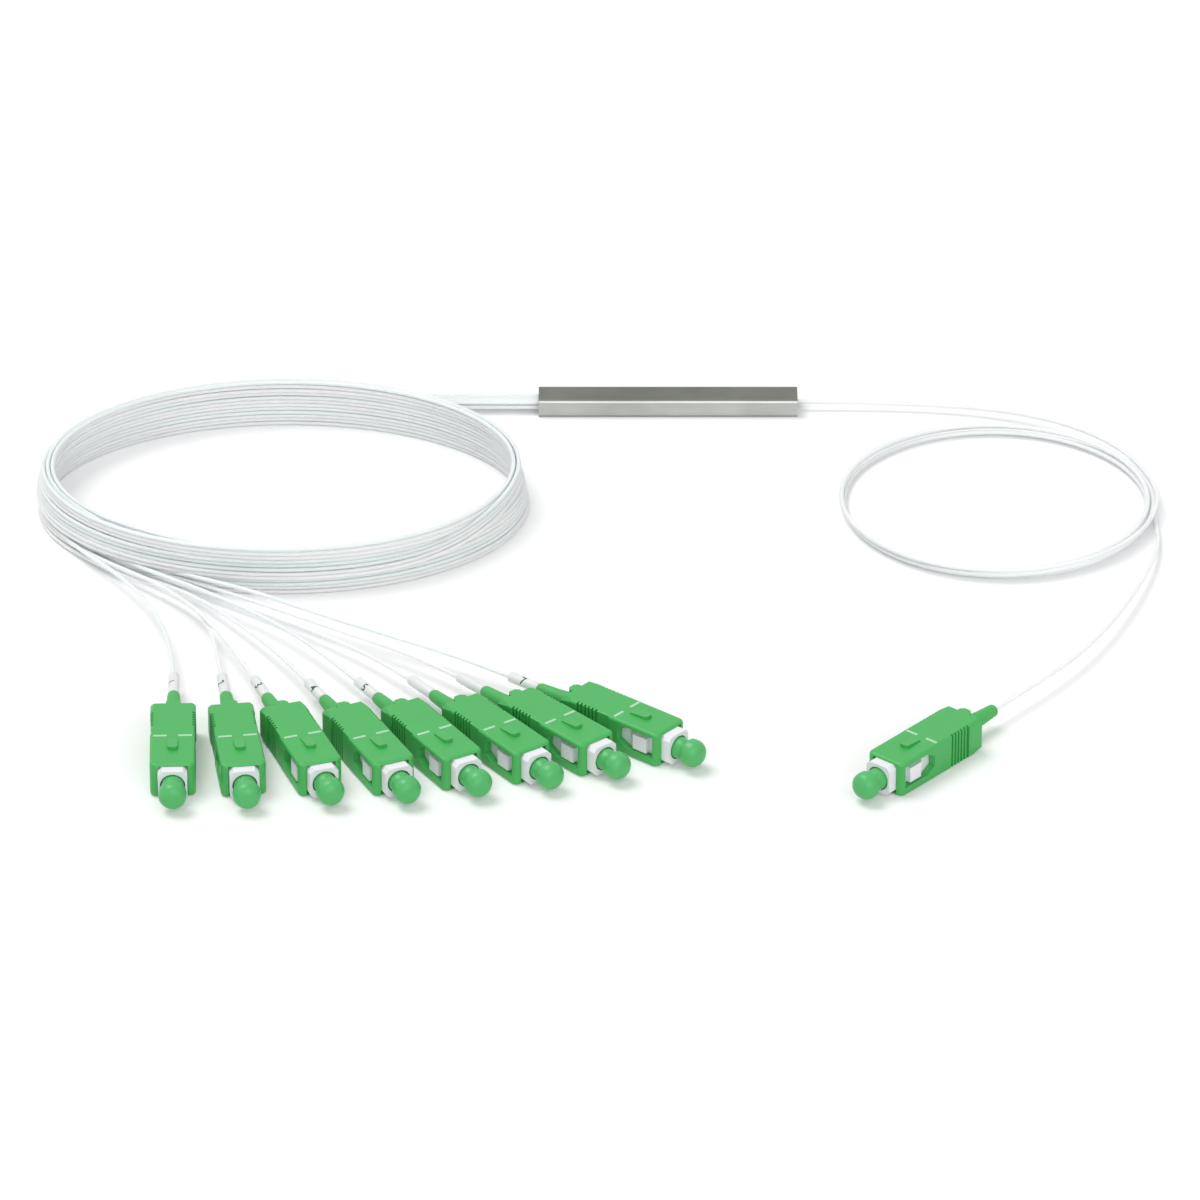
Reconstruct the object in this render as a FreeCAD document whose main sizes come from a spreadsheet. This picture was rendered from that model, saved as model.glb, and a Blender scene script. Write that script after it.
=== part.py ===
"""Mini steel-tube PLC fibre splitter, one input and eight outputs, on 0.9 mm cords with SC/APC plugs.

Frame: origin at the middle of the steel tube's underside, +X along the tube towards the input
cord, +Z up. Everything rests on z = 0. Each plug is modelled along its own X axis, with X = 0 at
the grip's front face and +X towards the nose, and is then placed with its own point and turn.
"""
import FreeCAD, Part
import math
import os

import Sketcher

Vector = FreeCAD.Vector

DOC = FreeCAD.newDocument("plc_splitter")
SHEET = DOC.addObject("Spreadsheet::Sheet", "Sizes")

# Driving dimensions, in millimetres; names that end in _count are numbers of copies.
SIZES = {
    # steel tube and what is inside it
    "tube_length": 55.0,
    "tube_width": 7.0,
    "tube_height": 4.0,
    "tube_wall": 0.4,
    "tube_corner": 0.7,
    "glue_gap": 0.05,
    "plug_depth": 5.0,
    "plug_recess": 0.5,
    "cord_seat_depth": 3.0,
    "chip_length": 14.0,
    "chip_width": 2.5,
    "chip_height": 2.4,
    "array_length_in": 6.0,
    "array_length_out": 8.0,
    "array_width_in": 2.0,
    "ribbon_width": 2.05,
    "ribbon_thickness": 0.3,
    "bare_fibre": 0.25,
    # cords
    "cord_dia": 0.9,
    "cord_gap": 0.02,
    "cord_straight": 16.4,
    "lead_pitch_across": 1.0,
    "lead_pitch_up": 1.05,
    "lead_rows": 2,
    "leads_per_row": 4,
    # wound coils: outer half-sizes at the bottom and the top turn, wall and height
    "coil_centre_x": -80.4,
    "coil_centre_y": -43.7,
    "coil_half_x": 51.4,
    "coil_half_y": 38.4,
    "coil_top_half_x": 49.3,
    "coil_top_half_y": 37.6,
    "coil_wall": 2.1,
    "coil_height": 10.8,
    "input_coil_x": 68.4,
    "input_coil_y": -44.0,
    "input_coil_radius": 33.0,
    "input_coil_wall": 2.4,
    "input_coil_height": 3.2,
    # grip, the outer push-pull sleeve of a plug
    "grip_length": 25.0,
    "grip_width": 9.0,
    "grip_height": 7.4,
    "grip_front_round": 1.3,
    "grip_edge_round": 0.7,
    "collar_length": 4.0,
    "collar_start_cut": 0.2,
    "collar_cut": 0.9,
    "tongue_width": 2.8,
    "tongue_length": 1.0,
    "tongue_round": 0.7,
    "window_front": 1.1,
    "window_length": 9.1,
    "window_top": 2.8,
    "window_bottom": 1.9,
    "window_slope": 2.3,
    "window_end_top": 1.5,
    "window_end_bottom": 0.7,
    "key_front": 5.6,
    "key_length": 4.3,
    "key_width": 2.0,
    "key_rise": 0.7,
    "key_rear_rise": 0.3,
    "key_round": 0.7,
    "waist_start": 12.6,
    "waist_depth": 0.2,
    "rib_start": 15.7,
    "rib_pitch": 0.95,
    "rib_groove": 0.5,
    "rib_depth": 0.45,
    "rib_count": 6,
    "dimple_place": 12.0,
    "dimple_height": 0.6,
    "dimple_dia": 0.9,
    "dimple_depth": 0.4,
    "rear_bore": 5.3,
    # plug frame, the white inner housing
    "slide_gap": 0.1,
    "grip_travel": 1.9,
    "frame_width": 5.8,
    "frame_height": 6.2,
    "frame_nose": 2.0,
    "frame_rear": 16.0,
    "frame_corner": 0.8,
    "front_bore": 4.95,
    "front_bore_depth": 8.5,
    "web_thickness": 1.2,
    "ferrule_gap": 0.25,
    "spring_bore": 4.7,
    "latch_reach": 1.2,
    "latch_length": 5.4,
    "latch_flat": 3.4,
    "latch_height": 3.2,
    # ferrule with its flange, and the spring behind it
    "ferrule_dia": 2.5,
    "ferrule_tip": 2.8,
    "ferrule_chamfer": 0.35,
    "apc_angle": 8.0,
    "flange_dia": 4.4,
    "flange_length": 1.5,
    "spigot_dia": 2.9,
    "spigot_length": 3.2,
    "seat_gap": 0.05,
    "float_travel": 1.0,
    "spring_dia": 4.4,
    "spring_wire": 0.4,
    "spring_turns": 4.0,
    # stop body behind the spring, and the boot
    "stop_insert": 1.5,
    "stop_insert_dia": 4.66,
    "stop_bore": 3.2,
    "stop_dia": 4.9,
    "stop_end": 20.0,
    "barb_dia": 2.2,
    "barb_end": 27.0,
    "barb_bore": 1.0,
    "boot_start": 20.05,
    "boot_root_dia": 4.5,
    "boot_root_end": 24.0,
    "boot_rise_end": 29.0,
    "boot_mid_dia": 3.1,
    "boot_end": 34.5,
    "boot_tip_dia": 2.5,
    "boot_tip_edge": 0.4,
    # dust cap on the ferrule
    "cap_bore": 2.52,
    "cap_rear": 4.5,
    "cap_sleeve_dia": 4.5,
    "cap_shoulder": 2.9,
    "cap_shoulder_round": 1.0,
    "cap_neck": 3.9,
    "cap_waist_dia": 3.7,
    "cap_waist_length": 0.5,
    "cap_knob_dia": 5.6,
    "cap_end": 7.9,
    "cap_knob_rear_edge": 0.6,
    "cap_knob_front_round": 2.1,
    # marker sleeve on each output cord
    "sleeve_dia": 2.2,
    "sleeve_bore": 0.94,
    "sleeve_length": 7.5,
}

# Nose point of each grip's front face on the floor, and its turn from pointing along -Y
# towards +X, in degrees. Plugs 1 to 8 end the output cords and plug 9 ends the input cord.
PLUGS = {
    1: (-98.5, -164.8, 2.0),
    2: (-84.5, -164.7, 8.0),
    3: (-69.3, -163.7, 20.0),
    4: (-54.8, -163.3, 25.5),
    5: (-41.3, -160.9, 31.0),
    6: (-27.6, -158.2, 36.0),
    7: (-14.8, -154.6, 41.5),
    8: (-0.4, -150.2, 49.5),
    9: (41.5, -162.4, -41.0),
}
INPUT_PLUG = 9

# Route of each output cord into the wound coil. It starts inside the boot and first runs
# straight along the plug's axis, through the marker sleeve; these are the points that follow.
OUTPUT_TAILS = {
    1: [(-104.9, -95.0, 3.5), (-112.2, -80.7, 3.4), (-119.8, -70.6, 3.0), (-125.9, -60.6, 2.4)],
    2: [(-94.6, -95.0, 2.7), (-104.6, -83.2, 2.2), (-115.0, -74.6, 1.5), (-123.2, -64.1, 0.8)],
    3: [(-94.8, -98.0, 4.2), (-104.4, -84.7, 4.0), (-113.6, -75.4, 2.9), (-121.0, -66.4, 2.0)],
    4: [(-86.9, -100.6, 3.0), (-98.2, -84.6, 2.0), (-112.6, -72.6, 0.9)],
    5: [(-79.3, -101.6, 3.9), (-93.7, -88.3, 3.8), (-107.8, -75.3, 3.2)],
    6: [(-71.5, -103.3, 2.9), (-86.0, -90.9, 2.0), (-99.5, -78.6, 1.4)],
    7: [(-65.6, -104.7, 3.6), (-81.2, -92.7, 3.0), (-94.8, -79.9, 2.3)],
    8: [(-56.4, -107.9, 4.6), (-73.0, -98.2, 5.0), (-86.4, -88.0, 4.6), (-96.8, -79.4, 3.4)],
}

# Route of the input cord: out of the steel tube to its coil, and from its boot back to the coil.
INPUT_LEAD = [(38.0, 0.0, 2.0), (52.2, -0.6, 1.7), (66.4, -2.7, 1.9), (79.6, -7.8, 2.3),
              (91.0, -16.8, 2.6), (98.6, -28.8, 2.7), (100.5, -38.2, 2.5)]
INPUT_TAIL = [(86.1, -107.2, 3.3), (95.3, -85.4, 2.9), (101.2, -64.8, 1.8), (100.7, -48.4, 1.1)]

# Route of the output leads in plan, from the steel tube to the back of the coil, for the four
# places across the tube's end; the two rows, one above the other, share it.
LEAD_ROUTES = {
    0: [(-37.6, -1.5), (-51.0, -1.3), (-64.4, -2.5), (-77.0, -6.15)],
    1: [(-38.0, -0.5), (-52.0, -0.25), (-66.2, -1.75), (-80.0, -5.9)],
    2: [(-38.4, 0.5), (-53.0, 0.75), (-67.5, -0.85), (-80.0, -3.9), (-90.2, -6.8)],
    3: [(-38.0, 1.5), (-52.5, 1.75), (-67.3, 0.2), (-82.2, -2.9), (-96.0, -7.4)],
}

ARC_SHARE = 0.45


class Term:
    """A length with the spreadsheet expression that gives it."""

    def __init__(self, text, value):
        self.text = text
        self.value = value

    @staticmethod
    def of(other):
        return other if isinstance(other, Term) else Term(repr(float(other)), float(other))

    def __add__(self, other):
        other = Term.of(other)
        return Term(f"({self.text} + {other.text})", self.value + other.value)

    def __sub__(self, other):
        other = Term.of(other)
        return Term(f"({self.text} - {other.text})", self.value - other.value)

    def __mul__(self, other):
        other = Term.of(other)
        return Term(f"({self.text} * {other.text})", self.value * other.value)

    def __truediv__(self, other):
        other = Term.of(other)
        return Term(f"({self.text} / {other.text})", self.value / other.value)

    def __neg__(self):
        return Term(f"(0 - {self.text})", -self.value)

    def __radd__(self, other):
        return Term.of(other) + self


def size(alias):
    """The named driving dimension, with its expression."""
    return Term(f"Sizes.{alias}", SIZES[alias])


def fill_sheet():
    """Write every driving dimension to the sheet under its own name."""
    for row, (alias, value) in enumerate(SIZES.items(), start=1):
        SHEET.set(f"A{row}", alias)
        SHEET.set(f"B{row}", repr(float(value)))
        SHEET.setAlias(f"B{row}", alias)
    DOC.recompute()


def new_body(name):
    body = DOC.addObject("PartDesign::Body", name)
    return body


def origin_plane(body, role):
    for feature in body.Origin.OriginFeatures:
        if feature.Role == role:
            return feature
    raise ValueError(role)


def new_sketch(body, role, name, shift=None):
    """A sketch on one of the body's own origin planes, shifted along its normal if asked."""
    sketch = body.newObject("Sketcher::SketchObject", name)
    sketch.AttachmentSupport = [(origin_plane(body, role), "")]
    sketch.MapMode = "FlatFace"
    if shift is not None:
        sketch.setExpression("AttachmentOffset.Base.z", shift.text)
    return sketch


def fix_point(sketch, geometry, position, x, y):
    """Tie one point of the sketch to its two coordinates."""
    for kind, term in (("DistanceX", x), ("DistanceY", y)):
        term = Term.of(term)
        index = sketch.addConstraint(Sketcher.Constraint(kind, -1, 1, geometry, position, term.value))
        sketch.setExpression(f"Constraints[{index}]", term.text)


def draw_polygon(sketch, corners):
    """A closed outline of straight lines through the corners, each tied to its coordinates."""
    points = [Vector(Term.of(x).value, Term.of(y).value, 0) for x, y in corners]
    lines = []
    for start, end in zip(points, points[1:] + points[:1]):
        lines.append(sketch.addGeometry(Part.LineSegment(start, end), False))
    for place, line in enumerate(lines):
        following = lines[(place + 1) % len(lines)]
        sketch.addConstraint(Sketcher.Constraint("Coincident", line, 2, following, 1))
    for line, (x, y) in zip(lines, corners):
        fix_point(sketch, line, 1, x, y)


def draw_rectangle(sketch, left, right, bottom, top):
    draw_polygon(sketch, [(left, bottom), (right, bottom), (right, top), (left, top)])


def draw_circle(sketch, x, y, diameter):
    x, y, diameter = Term.of(x), Term.of(y), Term.of(diameter)
    circle = Part.Circle(Vector(x.value, y.value, 0), Vector(0, 0, 1), diameter.value / 2)
    geometry = sketch.addGeometry(circle, False)
    fix_point(sketch, geometry, 3, x, y)
    index = sketch.addConstraint(Sketcher.Constraint("Diameter", geometry, diameter.value))
    sketch.setExpression(f"Constraints[{index}]", diameter.text)


def draw_ellipse(sketch, x, y, half_x, half_y):
    """An upright ellipse whose centre and two axis ends are tied to their coordinates."""
    centre = Vector(x.value, y.value, 0)
    major = centre + Vector(half_x.value, 0, 0)
    minor = centre + Vector(0, half_y.value, 0)
    geometry = sketch.addGeometry(Part.Ellipse(major, minor, centre), False)
    sketch.exposeInternalGeometry(geometry)
    fix_point(sketch, geometry, 3, x, y)
    major_line, minor_line = geometry + 1, geometry + 2
    fix_far_end(sketch, major_line, half_x, x, y, along_x=True)
    index = sketch.addConstraint(Sketcher.Constraint("Distance", minor_line, half_y.value * 2))
    sketch.setExpression(f"Constraints[{index}]", (half_y * 2).text)


def fix_far_end(sketch, line, half, x, y, along_x):
    """Give the ellipse's long axis its length and keep it level."""
    index = sketch.addConstraint(Sketcher.Constraint("Distance", line, half.value * 2))
    sketch.setExpression(f"Constraints[{index}]", (half * 2).text)
    sketch.addConstraint(Sketcher.Constraint("Horizontal" if along_x else "Vertical", line))


def pad(body, sketch, name, length, both_sides=False, backwards=False):
    feature = body.newObject("PartDesign::Pad", name)
    feature.Profile = sketch
    feature.setExpression("Length", Term.of(length).text)
    feature.Midplane = both_sides
    feature.Reversed = backwards
    return feature


def pocket(body, sketch, name, length=None, both_sides=False, backwards=False):
    """Cut the sketch's outline to a depth, or right through when no depth is given."""
    feature = body.newObject("PartDesign::Pocket", name)
    feature.Profile = sketch
    if length is None:
        feature.Type = "ThroughAll"
    else:
        feature.setExpression("Length", Term.of(length).text)
    feature.Midplane = both_sides
    feature.Reversed = backwards
    return feature


def turn(body, sketch, name, cut=False):
    """Revolve the outline round the sketch's horizontal axis, as a solid or as a cut."""
    kind = "PartDesign::Groove" if cut else "PartDesign::Revolution"
    feature = body.newObject(kind, name)
    feature.Profile = sketch
    feature.ReferenceAxis = (sketch, ["H_Axis"])
    feature.Angle = 360
    return feature


def pattern(body, original, name, sketch, axis, length, count):
    feature = body.newObject("PartDesign::LinearPattern", name)
    feature.Originals = [original]
    feature.Direction = (sketch, [axis])
    feature.setExpression("Length", length.text)
    feature.setExpression("Occurrences", count.text)
    body.Tip = feature
    return feature


def edges_where(feature, wanted):
    """Names of the edges of a feature's shape for which the test holds."""
    DOC.recompute()
    return [f"Edge{n}" for n, edge in enumerate(feature.Shape.Edges, start=1) if wanted(edge)]


def fillet(body, feature, name, radius, wanted, chamfer=False):
    names = edges_where(feature, wanted)
    kind = "PartDesign::Chamfer" if chamfer else "PartDesign::Fillet"
    rounded = body.newObject(kind, name)
    rounded.Base = (feature, names)
    rounded.setExpression("Size" if chamfer else "Radius", radius.text)
    return rounded


def runs_along(edge, axis):
    """True for a straight edge parallel to X, Y or Z."""
    if edge.Curve.TypeId != "Part::GeomLine":
        return False
    step = edge.Vertexes[-1].Point - edge.Vertexes[0].Point
    return abs(getattr(step.normalize(), axis)) > 0.999


def rim(edge, place, diameter):
    """True for a round edge about the X axis at that place and of that diameter."""
    curve = edge.Curve
    if curve.TypeId != "Part::GeomCircle":
        return False
    return abs(curve.Center.x - place.value) < 1e-4 and abs(curve.Radius * 2 - diameter.value) < 1e-4


def middle(edge):
    return edge.valueAt((edge.FirstParameter + edge.LastParameter) / 2)


# ---------------------------------------------------------------- the steel tube and its inside

def steel_tube():
    """Drawn rectangular tube, open at both ends."""
    length, width, height = size("tube_length"), size("tube_width"), size("tube_height")
    wall, corner = size("tube_wall"), size("tube_corner")
    body = new_body("steel_tube")
    outline = new_sketch(body, "YZ_Plane", "tube_outline")
    draw_rectangle(outline, -(width / 2), width / 2, Term.of(0), height)
    tube = pad(body, outline, "tube_pad", length, both_sides=True)
    rounded = fillet(body, tube, "tube_corners", corner, lambda e: runs_along(e, "x"))
    inside = new_sketch(body, "YZ_Plane", "tube_inside")
    draw_rectangle(inside, wall - width / 2, width / 2 - wall, wall, height - wall)
    hollow = pocket(body, inside, "tube_hollow", both_sides=True)
    inner = size("tube_width") / 2 - wall
    fillet(body, hollow, "tube_inner_corners", corner - wall,
           lambda e: runs_along(e, "x") and abs(abs(middle(e).y) - inner.value) < 1e-6)
    return body


def end_plug(name, side, leads):
    """Resin plug in one end of the tube, bored for the cords that enter it."""
    width, height, wall = size("tube_width"), size("tube_height"), size("tube_wall")
    gap, corner = size("glue_gap"), size("tube_corner")
    depth, recess = size("plug_depth"), size("plug_recess")
    outer = size("tube_length") / 2 - recess
    half = width / 2 - wall - gap
    body = new_body(name)
    outline = new_sketch(body, "YZ_Plane", f"{name}_outline", outer - depth)
    draw_rectangle(outline, -half, half, wall + gap, height - wall - gap)
    block = pad(body, outline, f"{name}_pad", depth)
    fillet(body, block, f"{name}_corners", corner - wall, lambda e: runs_along(e, "x"))
    bore = size("cord_dia") + size("cord_gap") * 2
    across, up = size("lead_pitch_across"), size("lead_pitch_up")
    seat = new_sketch(body, "YZ_Plane", f"{name}_seat", outer)
    if leads:
        first = -(across * 1.5)
        draw_circle(seat, first, height / 2 - up / 2, bore)
        hole = pocket(body, seat, f"{name}_hole", size("cord_seat_depth"))
        row = pattern(body, hole, f"{name}_row", seat, "H_Axis",
                      across * 3, size("leads_per_row"))
        upper = new_sketch(body, "YZ_Plane", f"{name}_upper_seat", outer)
        draw_circle(upper, first, height / 2 + up / 2, bore)
        upper_hole = pocket(body, upper, f"{name}_upper_hole", size("cord_seat_depth"))
        pattern(body, upper_hole, f"{name}_upper_row", upper, "H_Axis",
                across * 3, size("leads_per_row"))
    else:
        draw_circle(seat, Term.of(0), height / 2, bore)
        pocket(body, seat, f"{name}_hole", size("cord_seat_depth"))
    if side < 0:
        body.Placement = FreeCAD.Placement(Vector(0, 0, 0), FreeCAD.Rotation(Vector(0, 0, 1), 180))
    return body


def chip_floor():
    return size("tube_wall") + size("glue_gap")


def block(name, left, right, width, bottom, height):
    """A plain block along the tube, centred in Y."""
    box = DOC.addObject("Part::Box", name)
    box.setExpression("Length", (right - left).text)
    box.setExpression("Width", width.text)
    box.setExpression("Height", height.text)
    box.setExpression("Placement.Base.x", left.text)
    box.setExpression("Placement.Base.y", (-(width / 2)).text)
    box.setExpression("Placement.Base.z", bottom.text)
    return box


def chip_end(side):
    """Place along the tube of the chip's output end (-1) or input end (+1)."""
    return size("chip_length") * (side / 2)


def plc_chip():
    """The planar waveguide chip with its glass lid, one glued block."""
    return block("plc_chip", chip_end(-1), chip_end(1), size("chip_width"), chip_floor(),
                 size("chip_height"))


def plug_inner_end():
    return size("tube_length") / 2 - size("plug_recess") - size("plug_depth")


def fibre_array_out():
    """Eight-fibre array glued to the chip, with its ribbon running to the output end plug."""
    gap = size("glue_gap")
    right = chip_end(-1) - gap
    left = right - size("array_length_out")
    head = block("array_out_head", left, right, size("chip_width"), chip_floor(),
                 size("chip_height"))
    thickness = size("ribbon_thickness")
    middle_height = chip_floor() + size("chip_height") / 2
    ribbon = block("array_out_ribbon", -plug_inner_end() + gap, left + thickness,
                   size("ribbon_width"), middle_height - thickness / 2, thickness)
    joined = DOC.addObject("Part::Fuse", "fibre_array_out")
    joined.Base = head
    joined.Tool = ribbon
    return joined


def fibre_array_in():
    """Single-fibre array glued to the chip's input end, with its bare fibre."""
    gap = size("glue_gap")
    left = chip_end(1) + gap
    right = left + size("array_length_in")
    head = block("array_in_head", left, right, size("array_width_in"), chip_floor(),
                 size("chip_height"))
    fibre = DOC.addObject("Part::Cylinder", "array_in_fibre")
    start = right - size("bare_fibre")
    fibre.setExpression("Radius", (size("bare_fibre") / 2).text)
    fibre.setExpression("Height", (plug_inner_end() - gap - start).text)
    fibre.Placement = FreeCAD.Placement(Vector(0, 0, 0), FreeCAD.Rotation(Vector(0, 1, 0), 90))
    fibre.setExpression("Placement.Base.x", start.text)
    fibre.setExpression("Placement.Base.z", (chip_floor() + size("chip_height") / 2).text)
    joined = DOC.addObject("Part::Fuse", "fibre_array_in")
    joined.Base = head
    joined.Tool = fibre
    return joined


# ---------------------------------------------------------------- one plug, along its own X axis

def grip_body():
    """Outer push-pull sleeve: windows for the adapter's hooks, key on top, ribs at the rear."""
    length, width, height = size("grip_length"), size("grip_width"), size("grip_height")
    body = new_body("grip_form")
    half = width / 2
    plan = new_sketch(body, "XY_Plane", "grip_plan")
    draw_rectangle(plan, -length, Term.of(0), -half, half)
    shell = pad(body, plan, "grip_pad", height, both_sides=True)
    front = fillet(body, shell, "grip_front_corners", size("grip_front_round"),
                   lambda e: runs_along(e, "z") and middle(e).x > -0.01)
    level = (height / 2).value
    fillet(body, front, "grip_edges", size("grip_edge_round"),
                   lambda e: abs(abs(middle(e).z) - level) < 1e-6)
    grip_rear(body)
    grip_key(body)
    grip_cavity(body)
    grip_windows(body)
    grip_ribs(body)
    return body


def grip_rear(body):
    """Slanting cuts along the four rear corners, and a short tongue over and under the boot."""
    length, collar = size("grip_length"), size("collar_length")
    half, high = size("grip_width") / 2, size("grip_height") / 2
    spill = size("grip_edge_round")
    stations = [(collar - length, size("collar_start_cut")), (-length, size("collar_cut"))]
    for index, (side, up) in enumerate(((1, 1), (-1, 1), (-1, -1), (1, -1)), start=1):
        sketches = []
        for end, (place, leg) in enumerate(stations):
            corner = new_sketch(body, "YZ_Plane", f"rear_corner_{index}_{end}", place)
            outer_y, outer_z = (half + spill) * side, (high + spill) * up
            inner_y, inner_z = (half - leg - spill) * side, (high - leg - spill) * up
            corners = [(outer_y, inner_z), (outer_y, outer_z), (inner_y, outer_z)]
            draw_polygon(corner, corners if side * up > 0 else corners[::-1])
            sketches.append(corner)
        cut = body.newObject("PartDesign::SubtractiveLoft", f"rear_corner_{index}")
        cut.Profile = sketches[0]
        cut.Sections = [sketches[1]]
        cut.Ruled = True
        DOC.recompute()
    tongue = new_sketch(body, "XY_Plane", "tongue_plan")
    side = size("tongue_width") / 2
    rear = -(length - collar / 2)
    draw_rectangle(tongue, -(length + size("tongue_length")), rear, -side, side)
    flap = pad(body, tongue, "tongue_pad", size("grip_height"), both_sides=True)
    tongue_end = -(length + size("tongue_length")).value
    fillet(body, flap, "tongue_corners", size("tongue_round"),
           lambda e: runs_along(e, "z") and abs(middle(e).x - tongue_end) < 1e-6, chamfer=True)


def grip_key(body):
    """Key on top: upright and rounded in front, a little lower at its rear end."""
    top, sink = size("grip_height") / 2, size("key_rise") / 2
    front, run = -size("key_front"), size("key_length")
    side_view = new_sketch(body, "XZ_Plane", "key_side")
    draw_polygon(side_view, [(front, top - sink), (front, top + size("key_rise")),
                             (front - run, top + size("key_rear_rise")),
                             (front - run, top - sink)])
    wedge = pad(body, side_view, "key_pad", size("key_width"), both_sides=True)
    fillet(body, wedge, "key_rounding", size("key_round"),
           lambda e: runs_along(e, "z") and abs(middle(e).x - front.value) < 1e-6
           and middle(e).z > top.value)


def grip_cavity(body):
    """Square room for the plug frame from the front, round way for boot and stop from the rear."""
    room = size("slide_gap")
    wide = size("frame_width") / 2 + room
    high = size("frame_height") / 2 + room
    mouth = new_sketch(body, "YZ_Plane", "cavity_mouth")
    draw_rectangle(mouth, -wide, wide, -high, high)
    depth = size("frame_rear") + size("seat_gap")
    square = pocket(body, mouth, "cavity", depth)
    way = new_sketch(body, "YZ_Plane", "rear_way")
    draw_circle(way, Term.of(0), Term.of(0), size("rear_bore"))
    pocket(body, way, "rear_bore_cut", both_sides=True)
    return square


def grip_windows(body):
    """A window in each side, pointed at its rear end, and a small dimple behind it."""
    front = -size("window_front")
    rear = front - size("window_length")
    shoulder = rear + size("window_slope")
    top, bottom = size("window_top"), -size("window_bottom")
    side_view = new_sketch(body, "XZ_Plane", "window_side")
    draw_polygon(side_view, [(front, bottom), (front, top), (shoulder, top),
                             (rear, size("window_end_top")), (rear, -size("window_end_bottom")),
                             (shoulder, bottom)])
    pocket(body, side_view, "windows", both_sides=True)
    half = size("grip_width") / 2
    for name, side in (("left", 1), ("right", -1)):
        spot = new_sketch(body, "XZ_Plane", f"dimple_{name}", half * (-side))
        draw_circle(spot, -size("dimple_place"), size("dimple_height"), size("dimple_dia"))
        pocket(body, spot, f"dimple_{name}_cut", size("dimple_depth"), backwards=side < 0)


def grip_ribs(body):
    """The waist in both sides of the rear half, with a row of upright grooves across it."""
    half, spill = size("grip_width") / 2, size("waist_depth")
    floor_of_waist = half - size("waist_depth")
    collar_face = size("collar_length") - size("grip_length")
    for name, side in (("left", 1), ("right", -1)):
        outer, inner = (half + spill) * side, floor_of_waist * side
        low, high = (inner, outer) if side > 0 else (outer, inner)
        waist = new_sketch(body, "XY_Plane", f"waist_{name}")
        draw_rectangle(waist, collar_face, -size("waist_start"), low, high)
        pocket(body, waist, f"waist_{name}_cut", both_sides=True)
    for name, side in (("left", 1), ("right", -1)):
        outer, inner = (half + spill) * side, (floor_of_waist - size("rib_depth")) * side
        low, high = (inner, outer) if side > 0 else (outer, inner)
        groove = new_sketch(body, "XY_Plane", f"groove_{name}")
        start = -size("rib_start")
        draw_rectangle(groove, start - size("rib_groove"), start, low, high)
        cut = pocket(body, groove, f"groove_{name}_cut", both_sides=True)
        row = pattern(body, cut, f"grooves_{name}", groove, "H_Axis",
                      size("rib_pitch") * (SIZES["rib_count"] - 1), size("rib_count"))
        row.Reversed = True


def web_front():
    """Place of the front face of the web that stops the ferrule's flange."""
    return size("frame_nose") - size("front_bore_depth")


def web_rear():
    return web_front() - size("web_thickness")


def plug_frame_body():
    """White inner housing: front bore round the ferrule, web, spring bore, side latches."""
    nose, rear = size("frame_nose"), -size("frame_rear")
    half_width, half_height = size("frame_width") / 2, size("frame_height") / 2
    body = new_body("plug_frame_form")
    section = new_sketch(body, "YZ_Plane", "frame_section", rear)
    draw_rectangle(section, -half_width, half_width, -half_height, half_height)
    bar = pad(body, section, "frame_bar", nose - rear)
    fillet(body, bar, "frame_corners", size("frame_corner"), lambda e: runs_along(e, "x"),
           chamfer=True)
    frame_latches(body)
    bores = new_sketch(body, "XY_Plane", "frame_bores")
    clear = size("ferrule_dia") / 2 + size("ferrule_gap")
    draw_polygon(bores, [(rear, 0), (nose, 0), (nose, size("front_bore") / 2),
                         (web_front(), size("front_bore") / 2), (web_front(), clear),
                         (web_rear(), clear), (web_rear(), size("spring_bore") / 2),
                         (rear, size("spring_bore") / 2)])
    turn(body, bores, "frame_bores_cut", cut=True)
    return body


def frame_latches(body):
    """Flat-topped ramp on each side that stands in the grip's window and stops its travel."""
    face = -(size("window_front") + size("grip_travel") + size("seat_gap"))
    root = size("frame_width") / 2 - size("frame_corner") / 2
    tip = size("frame_width") / 2 + size("latch_reach")
    for name, side in (("left", 1), ("right", -1)):
        ramp = new_sketch(body, "XY_Plane", f"latch_{name}")
        corners = [(face, root * side), (face, tip * side),
                   (face - size("latch_flat"), tip * side),
                   (face - size("latch_length"), root * side)]
        draw_polygon(ramp, corners if side < 0 else corners[::-1])
        pad(body, ramp, f"latch_{name}_pad", size("latch_height"), both_sides=True)


def ferrule_front():
    return size("ferrule_tip")


def flange_front():
    return web_rear() - size("seat_gap")


def flange_rear():
    return flange_front() - size("flange_length")


def ferrule_body():
    """Ceramic ferrule held in its metal flange, with the slanted, chamfered tip."""
    tip, radius = ferrule_front(), size("ferrule_dia") / 2
    bevel = size("ferrule_chamfer")
    body = new_body("ferrule_form")
    half = new_sketch(body, "XY_Plane", "ferrule_half")
    tail = flange_rear() - size("spigot_length")
    draw_polygon(half, [(tail, 0), (tip, 0), (tip, radius - bevel), (tip - bevel * 2, radius),
                        (flange_front(), radius), (flange_front(), size("flange_dia") / 2),
                        (flange_rear(), size("flange_dia") / 2),
                        (flange_rear(), size("spigot_dia") / 2), (tail, size("spigot_dia") / 2)])
    turn(body, half, "ferrule_turned")
    slope = math.tan(math.radians(SIZES["apc_angle"]))
    slant = new_sketch(body, "XZ_Plane", "apc_slant")
    drop = radius * (2 * slope)
    draw_polygon(slant, [(tip, radius), (tip + radius, radius), (tip + radius, -radius),
                         (tip - drop, -radius)])
    pocket(body, slant, "apc_cut", both_sides=True)
    return body


def spring_front():
    """The spring lies as long as it is with the ferrule pushed fully back."""
    return flange_rear() - size("float_travel") - size("seat_gap")


def spring_rear():
    return stop_front() + size("seat_gap")


def stop_front():
    return size("stop_insert") - size("frame_rear")


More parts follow.
